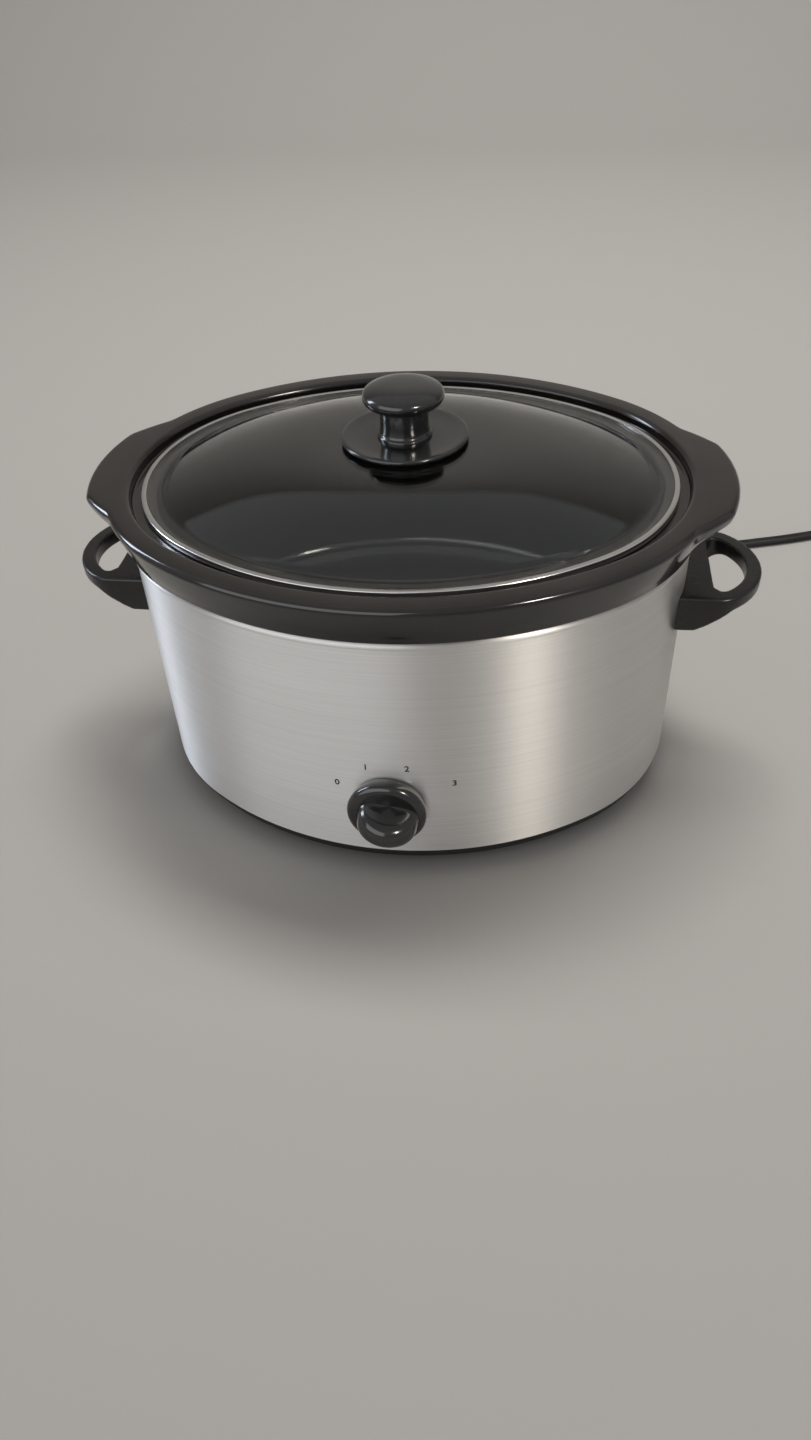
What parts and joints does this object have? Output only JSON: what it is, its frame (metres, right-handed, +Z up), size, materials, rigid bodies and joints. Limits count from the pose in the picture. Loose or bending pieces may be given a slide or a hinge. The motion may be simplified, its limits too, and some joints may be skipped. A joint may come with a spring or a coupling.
{
  "type": "slow cooker",
  "caption": "Oval countertop slow cooker with a brushed-steel housing, a lift-out black stoneware crock, a domed glass lid, loop handles, a rotary control and a power cord.",
  "frame": {"origin": "on the table, under the centre of the oval housing", "axes": "+Z up, the control faces -Y, +X towards the user's right along the length of the oval"},
  "size_m": [0.637, 0.46, 0.255],
  "materials": {
    "housing_steel": "brushed",
    "band_steel": "satin",
    "sheet_metal": "satin",
    "fastener_steel": "satin",
    "base_plastic": "satin",
    "handle_plastic": "satin",
    "knob_plastic": "gloss",
    "crock_glaze": "gloss",
    "lid_glass": "clear",
    "foot_rubber": "matte",
    "silicone": "matte",
    "heater_wrap": "matte",
    "fuse_ceramic": "matte",
    "supply_wire": "matte",
    "heater_wire": "matte",
    "switch_body": "matte",
    "switch_brass": "satin",
    "cord_rubber": "matte",
    "blade_brass": "satin"
  },
  "bodies": {
    "cooker": {"base_pan": "base_plastic", "feet": "foot_rubber", "housing_shell": "housing_steel", "heating_well": "sheet_metal", "well_stud": "fastener_steel", "stud_washer": "fastener_steel", "stud_nut": "fastener_steel", "heater_band": "heater_wrap", "clamp_screw": "fastener_steel", "clamp_nut": "fastener_steel", "thermal_fuse": "fuse_ceramic", "fuse_clip": "fastener_steel", "supply_leads": "supply_wire", "heater_leads": "heater_wire", "switch_bracket": "fastener_steel", "bracket_screws": "fastener_steel", "rotary_switch": "switch_body", "switch_nut": "switch_brass", "left_handle": "handle_plastic", "right_handle": "handle_plastic", "left_handle_screws": "fastener_steel", "right_handle_screws": "fastener_steel", "strain_relief": "cord_rubber", "power_cord": "cord_rubber", "cord_coil": "cord_rubber", "cord_tail": "cord_rubber", "plug_body": "cord_rubber", "plug_blades": "blade_brass"},
    "control": {"switch_shaft": "switch_brass", "control_knob": "knob_plastic"},
    "crock": {"crock": "crock_glaze"},
    "lid": {"lid_glass": "lid_glass", "lid_band": "band_steel", "knob_skirt": "knob_plastic", "lid_knob": "knob_plastic", "lid_screw": "fastener_steel", "lid_washer": "fastener_steel", "lid_gasket": "silicone"}
  },
  "joints": [
    {"name": "control_turn", "type": "hinge", "parent": "cooker", "child": "control", "pos_m": [0, -0.136, 0.057], "axis": [0, 1, 0], "range_deg": [0, 162]},
    {"name": "crock_lift", "type": "slide", "parent": "cooker", "child": "crock", "axis": [0, 0, 1], "range_m": [0, 0.12]},
    {"name": "lid_lift", "type": "slide", "parent": "crock", "child": "lid", "axis": [0, 0, 1], "range_m": [0, 0.1]}
  ]
}
